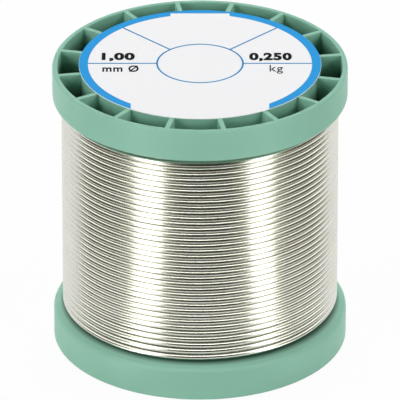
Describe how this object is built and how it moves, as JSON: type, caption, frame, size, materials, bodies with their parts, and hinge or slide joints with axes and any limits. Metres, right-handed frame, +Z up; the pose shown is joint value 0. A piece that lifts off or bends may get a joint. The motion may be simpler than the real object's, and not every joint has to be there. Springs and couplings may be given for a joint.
{
  "type": "solder wire spool",
  "caption": "Standing plastic spool with ribbed flanges, a full winding of solder wire, a central spindle bore and a round label.",
  "frame": {"origin": "centre of the lower rim, on the surface that the spool stands on", "axes": "+Z up along the spindle axis, +Y towards the tie-off slots and the cut end of the wire"},
  "size_m": [0.05, 0.05, 0.0512],
  "materials": {
    "green_plastic": "moulded, satin",
    "solder": "bright drawn solder wire",
    "flux": "amber rosin",
    "label_paper": "printed paper, semi-matt"
  },
  "bodies": {
    "root": {"upper_flange": "green_plastic", "lower_flange": "green_plastic", "barrel": "green_plastic", "wire_inner_layers": "solder", "wire_outer_layer": "solder", "wire_start_end": "solder", "flux_core": "flux", "label": "label_paper"}
  },
  "joints": []
}
